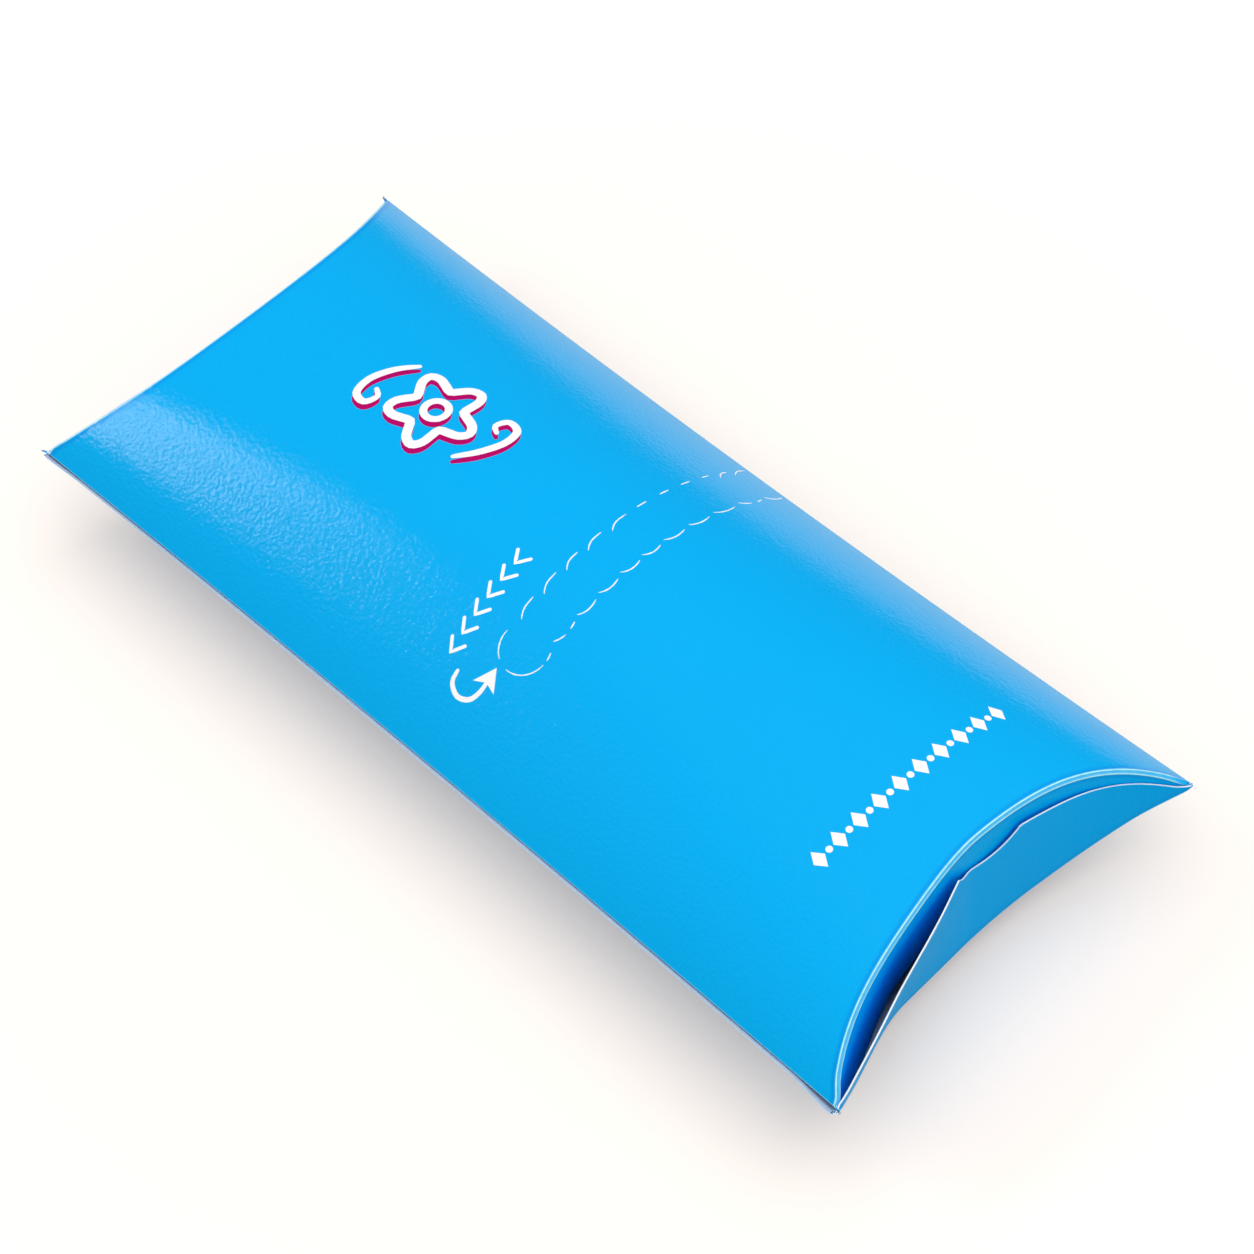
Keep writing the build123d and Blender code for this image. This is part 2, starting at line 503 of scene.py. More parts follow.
def rimWearAndHighlight():
    # broken-up wear and painted highlight along folded edges, from the mesh's own wear-and-highlight values, and
    # painted shade from its groove values
    tree, inp, out = newGroup("rimWearAndHighlight", {"Strength": 1.0, "Scale": 700.0}, ("WearAndHighlight", "PaintedGrooveShade"))
    wearAndHighlight = node(tree, "ShaderNodeAttribute", attribute_name="wearAndHighlight")
    groove = node(tree, "ShaderNodeAttribute", attribute_name="groove")
    coords = node(tree, "ShaderNodeTexCoord")
    noise = node(tree, "ShaderNodeTexNoise", in_3=4.0)
    ramp = node(tree, "ShaderNodeMapRange", in_1=0.25, in_2=0.75, in_3=0.65, in_4=1.15)
    broken = maths(tree, "MULTIPLY")
    level = maths(tree, "MULTIPLY", use_clamp=True)
    wire(
        tree,
        (coords, "Object", noise, "Vector"), (inp, "Scale", noise, "Scale"), (noise, 0, ramp, 0),
        (wearAndHighlight, "Fac", broken, 0), (ramp, 0, broken, 1), (broken, 0, level, 0), (inp, "Strength", level, 1),
        (level, 0, out, "WearAndHighlight"), (groove, "Fac", out, "PaintedGrooveShade"),
    )
    return tree


def fibreGrain():
    # short paper fibres
    tree, inp, out = newGroup("fibreGrain", {"Scale": 1200.0}, ("Height", "Tone"))
    coords = node(tree, "ShaderNodeTexCoord")
    warp = node(tree, "ShaderNodeTexNoise", in_2=90.0, in_3=3.0)
    fibre = node(tree, "ShaderNodeTexNoise", in_3=6.0, in_4=0.6, in_8=1.4)
    wire(
        tree,
        (coords, "Object", warp, "Vector"), (coords, "Object", fibre, "Vector"), (inp, "Scale", fibre, "Scale"),
        (fibre, 0, out, "Height"), (warp, 0, out, "Tone"),
    )
    return tree


groups = {"grain": coatGrain(), "rim": rimWearAndHighlight(), "fibre": fibreGrain()}


def principled(name, values):
    material = bpy.data.materials.new(name)
    material.use_nodes = True
    shader = material.node_tree.nodes["Principled BSDF"]
    for label, value in values.items():
        shader.inputs[label].default_value = value
    return material, material.node_tree, shader


def relief(tree, shader, grain, look, targets):
    raised = node(tree, "ShaderNodeBump", {"Strength": look["bump"], "Distance": look["bumpDistance"]})
    wire(tree, (grain, "Height", raised, "Height"), *((raised, 0, shader, target) for target in targets))


def coated(name, look):
    # printed and varnished face
    keys = {"Specular IOR Level": "specular", "Coat Weight": "coat", "Coat Roughness": "coatRoughness"}
    values = {label: look[key] for label, key in keys.items()}
    material, tree, shader = principled(name, {**values, "Coat IOR": look["coatIor"]})
    grain = node(tree, "ShaderNodeGroup", node_tree=groups["grain"])
    rim = node(tree, "ShaderNodeGroup", {"Strength": look["wearAndHighlight"]}, node_tree=groups["rim"])
    tone = mixed(tree, look["colour"], look["drift"])
    # painted shade: darker colour in the grooves behind the fold rims
    paintedShadeMix = mixed(tree, None, look["groove"])
    # painted highlight: light cyan on the worn fold rims
    wornAndHighlit = mixed(tree, None, look["rim"])
    rough = node(tree, "ShaderNodeMapRange", in_3=look["roughness"], in_4=look["roughness"] + look["scuff"])
    wire(
        tree,
        (grain, "Drift", tone, 0), (rim, "PaintedGrooveShade", paintedShadeMix, 0), (tone, 2, paintedShadeMix, 6),
        (rim, "WearAndHighlight", wornAndHighlit, 0), (paintedShadeMix, 2, wornAndHighlit, 6), (wornAndHighlit, 2, shader, "Base Color"),
        (grain, "Scuff", rough, 0), (rough, 0, shader, "Roughness"),
    )
    relief(tree, shader, grain, look, ("Normal", "Coat Normal"))
    return material


def fibrous(name, look):
    # uncoated paper: the bare inside of the board and its cut edges
    values = {"Roughness": look["roughness"], "Specular IOR Level": look["specular"]}
    material, tree, shader = principled(name, values)
    grain = node(tree, "ShaderNodeGroup", {"Scale": look["scale"]}, node_tree=groups["fibre"])
    tone = mixed(tree, look["colour"], look["shade"])
    wire(tree, (grain, "Height", tone, 0), (tone, 2, shader, "Base Color"))
    relief(tree, shader, grain, look, ("Normal",))
    return material


blueLook = {
    "colour": (0.0, 0.425, 0.9),
    "drift": (0.0, 0.445, 0.93),
    # painted shade: the darker blue laid in the grooves behind the fold rims
    "groove": (0.0, 0.33, 0.86),
    # painted highlight: the light colour of the fold rims, partly cracked ink and partly the highlight on the rounded
    # folds
    "rim": (0.5, 0.96, 1.0),
    "roughness": 0.42,
    "scuff": 0.16,
    "specular": 0.04,
    "coat": 0.85,
    "coatIor": 1.36,
    "coatRoughness": 0.09,
    "wearAndHighlight": 1.15,
    "bump": 0.8,
    "bumpDistance": 0.00006,
}
# the flaps' copy of the printed blue, painted lighter for the light on the end walls, with a thinner coat
flapLooksWithPaintedLight = {"colour": (0.0, 0.43, 0.965), "drift": (0.0, 0.455, 0.99), "coat": 0.07, "specular": 0.02}
# each ink's groove colour is its painted shade in the grooves
whiteInk = {"colour": (0.98, 0.985, 1.0), "drift": (1.0, 1.0, 1.0), "groove": (0.7, 0.8, 0.9)}
pinkInk = {"colour": (0.44, 0.0, 0.125), "drift": (0.5, 0.002, 0.15), "groove": (0.3, 0.0, 0.1)}
paper = {"specular": 0.2, "bump": 0.35, "bumpDistance": 0.00003}
bareLook = {**paper, "colour": (0.58, 0.64, 0.78), "shade": (0.7, 0.75, 0.86), "roughness": 0.85, "scale": 1100.0}
cutLook = {**paper, "colour": (0.82, 0.94, 1.0), "shade": (1.0, 1.0, 1.0), "roughness": 0.8, "scale": 2400.0}
seamEdgePaintedLightLook = {"colour": (0.38, 0.68, 1.0), "shade": (0.55, 0.82, 1.0)}  # painted reflection: the cut edge along the seam, blue from the panels around it
# painted reflection: the bare inside at the seam, bluer from the blue panels around the gap
seamBoardPaintedLightLook = {"colour": (0.48, 0.64, 0.93), "shade": (0.6, 0.74, 0.98)}
coatedBlue = coated("coatedBlue", blueLook)
flapBlueWithPaintedLight = coated("flapBlueWithPaintedLight", {**blueLook, **flapLooksWithPaintedLight})
inkWhite = coated("inkWhite", {**blueLook, **whiteInk})
inkPink = coated("inkPink", {**blueLook, **pinkInk})
bareBoard = fibrous("bareBoard", bareLook)
cutEdge = fibrous("cutEdge", cutLook)
seamEdgePaintedLight = fibrous("seamEdgePaintedLight", {**cutLook, **seamEdgePaintedLightLook})
seamBoardPaintedLight = fibrous("seamBoardPaintedLight", {**bareLook, **seamBoardPaintedLightLook})
boardMaterials = [coatedBlue, bareBoard, cutEdge, inkWhite, inkPink]
bottomMaterials = [coatedBlue, seamBoardPaintedLight, seamEdgePaintedLight]
flapMaterials = [flapBlueWithPaintedLight, flapBlueWithPaintedLight, cutEdge]  # the bare inside takes the printed blue too, painted blue shade and reflection from the flaps facing it
print("stage: materials")


def innerSkin(points, normals, fixRows, thick=board):
    # the inside of the board, kept from folding over itself behind the creases
    inner = points - normals * thick
    for axis, low, high in fixRows:
        moved = np.moveaxis(inner, axis, 0)
        for rows, stop in ((moved, low), (moved[::-1], high)):
            for k in range(1, stop):
                rows[k] = rows[0] + (rows[stop] - rows[0]) * k / stop
    return inner


def endBand(skin, crease, side, wall, end, s, drop):
    # rows of a panel next to an end crease, from the middle of the fold inwards
    _, normal, reach = creaseFrame(skin, crease, side, end, s)
    rows = []
    for distance, lift, wearAndHighlight in foldRows(endFold, foldTurn(normal, wall, s, end)):
        x = crease(s, end) - end * distance / reach
        n = skinNormal(skin, x, s, side)
        rows.append((skin(x, s) + n * (lift + drop)[:, None], wearAndHighlight, x))
    return rows


panelLook = {
    "middleRows": 110,
    "sideWearAndHighlight": 0.45,
    "bottomWearAndHighlight": 0.5,
    "bottomShade": 0.4,
    "creaseShade": {6: 0.35, 7: 0.8, 8: 1.0, 9: 0.5},  # painted shade on the rows behind the rim
    "seamEase": 1.5,
    "shadedRows": 4,  # painted shade on the rows behind the cut edge
    "facing": (0, 0.02, 0),
}


def panelGrid(skin, crease, side, wall, s, drop, wearAndHighlightAcross):
    near, far = [endBand(skin, crease, side, wall, end, s, drop) for end in (1, -1)]
    xa, xb = far[-1][2], near[-1][2]
    middle = []
    for t in np.linspace(0, 1, panelLook["middleRows"] + 2)[1:-1]:
        x = xa + (xb - xa) * t
        middle.append((skin(x, s) + skinNormal(skin, x, s, side) * drop[:, None], 0.0, x))
    points, wearsAndHighlights, _ = zip(*far, *middle, *near[::-1])
    return np.array(points), np.maximum(np.array(wearsAndHighlights)[:, None], wearAndHighlightAcross * panelLook["sideWearAndHighlight"])


def paintedShadeOf(rows, columns, ends=2):
    # painted shade on the groove rows next to one end crease or both
    groove = np.zeros((rows, columns))
    for k, value in panelLook["creaseShade"].items():
        groove[k] = value
        if ends == 2:
            groove[rows - 1 - k] = value
    return groove


bandRows = sideCount = len(foldRows(endFold, columnPlan["turn"]))

# Bottom panel, with a fold at +Y and the cut edge at -Y
bottomS, bottomDrop, bottomWearAndHighlight = colS.copy(), colDrop.copy(), colWearAndHighlight.copy()
proud = seam["proud"] / seam["slant"]
spread = np.linspace(0, 1, sideCount) ** panelLook["seamEase"]
bottomS[:sideCount] = -1 - proud + spread * (1 + proud + bottomS[sideCount - 1])
bottomDrop[:sideCount] = bottomWearAndHighlight[:sideCount] = 0
bottomPoints, bottomWearsAndHighlights = panelGrid(bottomSkin, bottomCrease, -1, outerWall, bottomS, bottomDrop, bottomWearAndHighlight)
bottomNormals = gridNormals(bottomPoints, bottomPoints * panelLook["facing"] + (0, 0, -1))
bottomInner = innerSkin(bottomPoints, bottomNormals, [(0, 6, 6), (1, 0, 5)])
bottomInner[:, 0] = bottomPoints[:, 0] - bottomNormals[:, 0] * seam["rim"]
rows, columns = bottomPoints.shape[:2]
bottomWearsAndHighlights, bottomPaintedShade = bottomWearsAndHighlights * panelLook["bottomWearAndHighlight"], paintedShadeOf(rows, columns) * panelLook["bottomShade"]
bottomGrids = (bottomPoints, bottomNormals, bottomInner)
bottomPanel = gridSheet("bottomPanel", *bottomGrids, 0, bottomMaterials, bottomWearsAndHighlights, bottomPaintedShade)
print("stage: bottom panel", rows, columns)

# Top panel, its prints and the tear strip
topS = colS.copy()
topS[:sideCount] += seamShift * np.linspace(1, 0, sideCount)
topPoints, topWearsAndHighlights = panelGrid(topSkin, topCrease, 1, innerWall, topS, colDrop, colWearAndHighlight)
topNormals = gridNormals(topPoints, topPoints * panelLook["facing"] + (0, 0, 1))
tipFade = {"share": 0.85, "least": 0.12, "across": (0.93, 0.975), "along": 112}  # no worn rims with painted highlight at the +Y tips
nearTip = (topWearsAndHighlights > tipFade["least"]) * (np.abs(topPoints[..., 0]) > tipFade["along"])
topWearsAndHighlights = topWearsAndHighlights * (1 - tipFade["share"] * smooth(topS, *tipFade["across"]) * nearTip)
topInner = innerSkin(topPoints, topNormals, [(0, 6, 6), (1, 5, 5)])
rows, columns = topPoints.shape[:2]
topPaintedShade = paintedShadeOf(rows, columns)
# painted shade along the top panel's fold at the seam, where it turns down behind the cut edge
topPaintedShade[:, : panelLook["shadedRows"]] = 1.0

# Tear strip and prints, each place in x and in distance over the board from the crown
strip = {
    "axis": 6.38,  # where it crosses the crown
    "turn": -0.0459,
    "tabAt": -23.0,
    "tabRadius": 5.75,
    "tabSpan": (148, 392),  # degrees
    "endAt": 0.982,
    "endClear": 0.15,
    "waistRadius": 66.1,
    "cusps": {
        1: [-18.9, -11.8, -5.4, 1.1, 7.3, 13.3, 20.6, 28.3, 36.9, 46.1, 54.2],
        -1: [-19.6, -12.6, -5.8, 0.4, 7.4, 14.6, 21.6, 28.2, 35.0, 41.4, 46.6, 54.2],
    },
    "lobe": {1: (3.9, 5.35, 4.5, 0.5), -1: (4.1, 6.0, 6.05, 0.55)},  # start, crest, end, place of the crest
    "lobePower": 2.2,
}


def planPlace(over):
    return strip["waistRadius"] * np.sin(np.asarray(over, float) / strip["waistRadius"])


def stripMiddle(over):
    return strip["axis"] + strip["turn"] * over


def lobe(t, hand):
    start, crest, end, peak = strip["lobe"][hand]
    up = start + (crest - start) * (1 - (1 - np.clip(t / peak, 0, 1)) ** strip["lobePower"])
    return np.where(t < peak, up, crest + (end - crest) * ((t - peak) / (1 - peak)) ** 2)


def lobeSpans(hand):
    return zip(strip["cusps"][hand], strip["cusps"][hand][1:])


def sidePath(hand, low, high, first=0.0, last=1.0, count=14):
    t = np.linspace(first, last, count)
    over = low + (high - low) * t
    return stack(stripMiddle(over) + hand * lobe(t, hand), over)


def tabPath(first, last, count=28):
    angle = np.radians(np.linspace(first, last, count))
    radius = strip["tabRadius"]
    return stack(stripMiddle(strip["tabAt"]) + radius * np.cos(angle), strip["tabAt"] + radius * np.sin(angle))


def stripOutline():
    left, right = [np.concatenate([sidePath(hand, a, b) for a, b in lobeSpans(hand)]) for hand in (-1, 1)]
    return np.concatenate([left[::-1], tabPath(*strip["tabSpan"]), right])


def toPlan(path):
    path = np.asarray(path, float)
    return stack(path[:, 0], planPlace(path[:, 1]))


pen = {"step": 0.7, "capPoints": 8}


def stroke(points, width, closed=False, taper=0.0, sharp=False):
    # smooth pen stroke through the given points
    p = np.asarray(points, float)
    padded = np.concatenate([p[-1:], p, p[:2]] if closed else [p[:1], p, p[-1:]])
    dense = []
    for p0, p1, p2, p3 in zip(padded, padded[1:], padded[2:], padded[3:]):
        steps = max(2, int(np.linalg.norm(p2 - p1) / pen["step"]))
        for t in np.linspace(0, 1, steps, endpoint=False):
            if sharp:
                dense.append(p1 + (p2 - p1) * t)
            else:
                square = (2 * p0 - 5 * p1 + 4 * p2 - p3) * t**2
                cube = (3 * p1 - p0 - 3 * p2 + p3) * t**3
                dense.append(0.5 * (2 * p1 + (p2 - p0) * t + square + cube))
    if not closed:
        dense.append(p[-1])
    share = np.linspace(0, 1, len(dense))
    half = width / 2 * (1 - taper * (2 * np.abs(share - 0.5)) ** 3)
    return {"line": np.array(dense), "half": half, "closed": closed}


def strokeOutlines(mark):
    line, half, closed = mark["line"], mark["half"], mark["closed"]
    if closed:
        along = np.roll(line, -1, 0) - np.roll(line, 1, 0)
    else:
        along = np.gradient(line, axis=0)
    side = stack(-along[:, 1], along[:, 0])
    side = side / np.maximum(np.linalg.norm(side, axis=1, keepdims=True), 1e-9)
    left, right = line + side * half[:, None], line - side * half[:, None]
    if closed:
        return [left, right]
    caps = []
    for centre, start, radius in ((line[-1], side[-1], half[-1]), (line[0], -side[0], half[0])):
        angle = math.atan2(start[1], start[0]) - np.linspace(0, math.pi, pen["capPoints"])[1:-1]
        caps.append(centre + radius * stack(np.cos(angle), np.sin(angle)))
    return [np.concatenate([left, caps[0], right[::-1], caps[1]])]


def inStroke(mark, q):
    line, half = mark["line"], mark["half"]
    if mark["closed"]:
        line, half = np.concatenate([line, line[:1]]), np.concatenate([half, half[:1]])
    best = np.full(len(q), False)
    for a, b, r in zip(line, line[1:], (half[1:] + half[:-1]) / 2):
        ab = b - a
        t = np.clip(((q - a) @ ab) / max(ab @ ab, 1e-9), 0, 1)
        best |= np.linalg.norm(q - a - t[:, None] * ab, axis=1) < r
    return best


def inPolygon(polygon, q):
    inside = np.full(len(q), False)
    for (x1, y1), (x2, y2) in zip(polygon, np.roll(polygon, -1, 0)):
        cross = (y1 > q[:, 1]) != (y2 > q[:, 1])
        with np.errstate(divide="ignore", invalid="ignore"):
            at = (x2 - x1) * (q[:, 1] - y1) / (y2 - y1) + x1
        inside ^= cross & (q[:, 0] < at)
    return inside


# Generic ornaments
ornament = {
    "centre": (-50.0, 6.0),
    "size": 8.2,
    "petals": 5,
    "wave": 0.27,
    "eye": 2.7,
    "width": 2.1,
    "eyeWidth": 0.8,  # as a share of the width, and so is the curl's
    "curlWidth": 0.85,
    "curlTaper": 0.45,
    "curl": [(12.5, -6.5), (15.6, -2.2), (17.6, 3.2), (16.8, 7.6), (13.6, 8.4), (12.4, 5.6), (14.2, 4.2)],
    "shadow": (1.0, -1.1),
}


def roundPath(centre, radius, step):
    # closed path about a centre, where the radius may change with the angle
    angle = np.radians(np.arange(0, 360, step))
    radii = radius(angle)
    return stack(centre[0] + radii * np.cos(angle), centre[1] + radii * np.sin(angle))


def flowerMarks():
    (cx, cy), width, size = ornament["centre"], ornament["width"], ornament["size"]
    petals = roundPath((cx, cy), lambda turn: size * (1 + ornament["wave"] * np.cos(ornament["petals"] * turn)), 12)
    eye = roundPath((cx, cy), lambda turn: ornament["eye"], 30)
    marks = [stroke(petals, width, closed=True), stroke(eye, width * ornament["eyeWidth"], closed=True)]
    for hand in (-1, 1):
        curl = [(cx + hand * x, cy + hand * y) for x, y in ornament["curl"]]
        marks.append(stroke(curl, width * ornament["curlWidth"], taper=ornament["curlTaper"]))
    return marks


whiteStrokes = flowerMarks()
pinkStrokes = [{**mark, "line": mark["line"] + np.array(ornament["shadow"])} for mark in whiteStrokes]
arrow = {
    "path": [(-1.8, -34.9), (-1.3, -37.4), (1.4, -39.0), (4.2, -38.0), (5.3, -35.4), (5.3, -32.6)],
    "head": [(2.4, -34.5), (5.2, -29.6), (8.2, -34.1), (5.3, -33.2)],
    "width": 1.1,
    "taper": 0.3,
}
whiteStrokes.append(stroke(arrow["path"], arrow["width"], taper=arrow["taper"]))
chevrons = {"x": -5.6, "lean": -0.09, "from": -31.5, "to": -9.5, "count": 6, "size": 1.9, "rise": 0.7, "width": 0.75}
for k in range(chevrons["count"]):
    over = chevrons["from"] + (chevrons["to"] - chevrons["from"]) * k / (chevrons["count"] - 1)
    x = chevrons["x"] + chevrons["lean"] * (over - chevrons["from"])
    r, up = chevrons["size"], chevrons["size"] * chevrons["rise"]
    corners = [(x - r, over + up), (x, over - up), (x + r, over + up)]
    whiteStrokes.append(stroke(corners, chevrons["width"], sharp=True))
beads = {"x": 85.3, "from": -19.0, "to": 31.7, "count": 19, "diamond": 2.1, "wide": 1.1, "high": 0.75, "dot": 0.75}
whitePolygons = [np.array(arrow["head"])]
for k in range(beads["count"]):
    over = beads["from"] + (beads["to"] - beads["from"]) * k / (beads["count"] - 1)
    if k % 2 == 0:
        r, wide, high = beads["diamond"], beads["wide"], beads["high"]
        corners = ((wide, 0), (0, high), (-wide, 0), (0, -high))
        whitePolygons.append(np.array([(beads["x"] + r * a, over + r * b) for a, b in corners]))
    else:
        whitePolygons.append(roundPath((beads["x"], over), lambda turn: beads["dot"], 30))


first, last = bandRows - 1, rows - bandRows
left, right = sideCount - 1, columns - sideCount


def insideCut():
    # one triangulation of the panel's middle, cut along the strip and the prints
    ids = np.arange(rows * columns).reshape(rows, columns)
    block = ids[first : last + 1, left : right + 1]
    own = topPoints.reshape(-1, 3)
    plan = [tuple(own[v][:2]) for v in block.reshape(-1)]
    local = np.arange(block.size).reshape(block.shape)
    ring = np.concatenate([local[0], local[1:, -1], local[-1, -2::-1], local[-2:0:-1, 0]])
    edges = list(zip(ring, np.roll(ring, -1)))
    outline = toPlan(stripOutline())
    limit = strip["endAt"] * halfWidth(0)
    outline = outline[outline[:, 1] < limit - strip["endClear"]]
    closedStrip = np.concatenate([[(outline[0, 0], limit)], outline, [(outline[-1, 0], limit)]])
    marks = [toPlan(path) for mark in whiteStrokes + pinkStrokes for path in strokeOutlines(mark)]
    for path in [closedStrip, *marks, *map(toPlan, whitePolygons)]:
        fresh = list(range(len(plan), len(plan) + len(path)))
        plan.extend((float(a), float(b)) for a, b in path)
        edges.extend(zip(fresh, fresh[1:] + fresh[:1]))
    made = geometry.delaunay_2d_cdt([Vector(p) for p in plan], [(int(a), int(b)) for a, b in edges], [], 0, 1e-5)
    corners = np.array([tuple(v) for v in made[0]])
    return corners, made[2], made[3], block.reshape(-1), own[block.reshape(-1)][ring][:, :2], closedStrip


places, cutFaces, origin, blockIds, ringPolygon, stripPolygon = insideCut()
print("stage: cut", len(places), len(cutFaces))

ids, extra = [], []
for k, sources in enumerate(origin):
    known = [int(blockIds[v]) for v in sources if v < len(blockIds)]
    ids.append(known[0] if known else rows * columns + len(extra))
    extra += [] if known else [k]
xExtra, yExtra = places[extra, 0], places[extra, 1]
sExtra = yExtra / halfWidth(xExtra)
extraPoints = topSkin(xExtra, sExtra)
extraNormals = skinNormal(topSkin, xExtra, sExtra, 1)
plain = np.zeros(len(extra))
allGrids = [
    np.concatenate([grid.reshape(-1, 3), own])
    for grid, own in (
        (topPoints, extraPoints), (topNormals, extraNormals), (topInner, extraPoints - extraNormals * board)
    )
]
allWearAndHighlight, allPaintedShade = [np.concatenate([grid.reshape(-1), plain]) for grid in (topWearsAndHighlights, topPaintedShade)]

centres = np.array([places[list(face)].mean(axis=0) for face in cutFaces])
inBlock = inPolygon(ringPolygon, centres)
inStrip = inPolygon(stripPolygon, centres)
over = strip["waistRadius"] * np.arcsin(np.clip(centres[:, 1] / strip["waistRadius"], -1, 1))
spots = stack(centres[:, 0], over)
white = np.any([inStroke(mark, spots) for mark in whiteStrokes] + [inPolygon(p, spots) for p in whitePolygons], axis=0)
pink = np.any([inStroke(mark, spots) for mark in pinkStrokes], axis=0)
faceInk = np.where(white, 3, np.where(pink, 4, 0))


def pickSheet(name, faces, inks):
    used = sorted({v for face in faces for v in face})
    index = {v: k for k, v in enumerate(used)}
    faces = [[index[v] for v in face] for face in faces]
    grids = [grid[used] for grid in allGrids]
    return sheet(name, *grids, faces, inks, boardMaterials, allWearAndHighlight[used], allPaintedShade[used])


panelFaces, panelInks, stripFaces = [], [], []
for face in gridFaces(rows, columns):
    i, j = divmod(face[0], columns)
    if not (first <= i < last and left <= j < right):
        panelFaces.append(face)
        panelInks.append(0)
for k, face in enumerate(cutFaces):
    if not inBlock[k]:
        continue
    mapped = [ids[v] for v in face]
    if inStrip[k]:
        stripFaces.append(mapped)
    else:
        panelFaces.append(mapped)
        panelInks.append(int(faceInk[k]))
topPanel = pickSheet("topPanel", panelFaces, panelInks)
tearStrip = pickSheet("tearStrip", stripFaces, [0] * len(stripFaces))
print("stage: top panel", len(panelFaces), len(stripFaces))


# Flaps, each starting on its panel's fold
flapForm = {
    "board": 0.32,  # pressed thin
    "rows": 16,
    "startWearAndHighlight": 0.25,
    "shade": 0.7,
    "fullHeight": 4,
    "steepLeast": 0.2,
    "bandShare": (0.5, 0.45, 3),
    "bandMost": 0.95,
    "upFacing": 0.3,
    "lowerWearAndHighlight": 0.4,
}


def flap(name, panelPoints, s, wall, crease, skin, side, end, wearAndHighlightScale):
    along, normal, _ = creaseFrame(skin, crease, side, end, s)
    band = foldRows(endFold, foldTurn(normal, wall, s, end))
    height = np.abs(wall(s, 1.0, end)[..., 2] - wall(s, 0.0, end)[..., 2])
    steep = np.sqrt(np.maximum(1 - along[..., 2] ** 2, flapForm["steepLeast"]))
    fade = np.clip(height / flapForm["fullHeight"], 0, 1)
    rows, wearsAndHighlights = [panelPoints[-1] if end > 0 else panelPoints[0]], [flapForm["startWearAndHighlight"]]
    base, gain, reach = flapForm["bandShare"]
    for distance, lift, wearAndHighlight in band[1:]:
        share = np.minimum(distance / steep / height, base + gain * distance / reach)
        n = wallNormal(wall, s, share, end)
        rows.append(wall(s, share, end) + n * (lift * fade)[:, None])
        wearsAndHighlights.append(wearAndHighlight * wearAndHighlightScale)
    lastShare = np.minimum(band[-1][0] / steep / height, flapForm["bandMost"])
    for t in np.linspace(0, 1, flapForm["rows"])[1:]:
        rows.append(wall(s, lastShare + (1 - lastShare) * t, end))
        wearsAndHighlights.append(0.0)
    points = np.array(rows)
    normals = gridNormals(points, np.array((end, 0, flapForm["upFacing"] * side)))
    groove = paintedShadeOf(*points.shape[:2], ends=1) * flapForm["shade"]
    wearAndHighlight = np.array(wearsAndHighlights)[:, None] * (1 - tipFade["share"] * smooth(s, *tipFade["across"]))[None, :]
    inner = innerSkin(points, normals, [(0, 6, 0)], flapForm["board"])
    return gridSheet(name, points, normals, inner, 0, flapMaterials, wearAndHighlight, groove)


flaps = {}
for end, label in ((1, "near"), (-1, "far")):
    lower = (bottomPoints, bottomS, outerWall, bottomCrease, bottomSkin, -1, end, flapForm["lowerWearAndHighlight"])
    upper = (topPoints, topS, innerWall, topCrease, topSkin, 1, end, 1.0)
    flaps[f"{label}_outer"] = flap(f"{label}OuterFlap", *lower)
    flaps[f"{label}_inner"] = flap(f"{label}InnerFlap", *upper)
print("stage: flaps")

# Glue flap, under the bottom panel along the seam
glue = {"width": 14.0, "setback": 10.0, "taper": 12.0, "film": 0.1, "from": 0.02, "columns": 12, "rows": 90}


def glueFlap():
    across = np.linspace(glue["from"], glue["width"] / halfWidth(0), glue["columns"])
    s = -1 + across
    points = []
    for t in np.linspace(-1, 1, glue["rows"]):
        x = t * (tip - glue["setback"] - glue["taper"] * (across - across[0]) / (across[-1] - across[0]))
        points.append(bottomSkin(x, s, 0) - skinNormal(bottomSkin, x, s, -1) * (board + glue["film"]))
    points = np.array(points)
    normals = gridNormals(points, np.array((0, 0, -1)))
    wearAndHighlight = np.zeros(points.shape[:2])
    return gridSheet("glueFlap", points, normals, points - normals * board, 1, boardMaterials, wearAndHighlight)


gluePiece = glueFlap()

# Perforation: cut dashes whose white core shows along the strip's outline
dash = {
    "radius": 0.2,
    "sunk": 0.1,
    "taper": 0.6,
    "seed": 4,
    "step": 0.3,
    "uneven": (0.82, 1.12),
    "sides": 8,
    "tab": ((262, 360, 18), (365, 386, 6), (243, 172, 14)),  # from and to in degrees, points
    "right": ((0.03, 0.88),),  # share of a scallop
    "rightBroken": ((0.03, 0.45), (0.62, 0.88)),
    "brokenAt": (0, 8),
    "left": (0.04, 0.86),
    "leftShort": (0.25, 0.7),
    "shortFrom": 14,
    "shortTo": 42,
}


def dashPaths():
    paths = [tabPath(*span) for span in dash["tab"]]
    for k, (a, b) in enumerate(lobeSpans(1)):
        spans = dash["rightBroken" if k in dash["brokenAt"] else "right"]
        paths += [sidePath(1, a, b, u, v, 10) for u, v in spans]
    for a, b in lobeSpans(-1):
        if a > dash["shortFrom"] and b < dash["shortTo"]:
            u, v = dash["leftShort"]
            over = np.linspace(a + u * (b - a), a + v * (b - a), 6)
            paths.append(stack(stripMiddle(over) - strip["lobe"][-1][2], over))
        else:
            paths.append(sidePath(-1, a, b, *dash["left"], 10))
    return paths


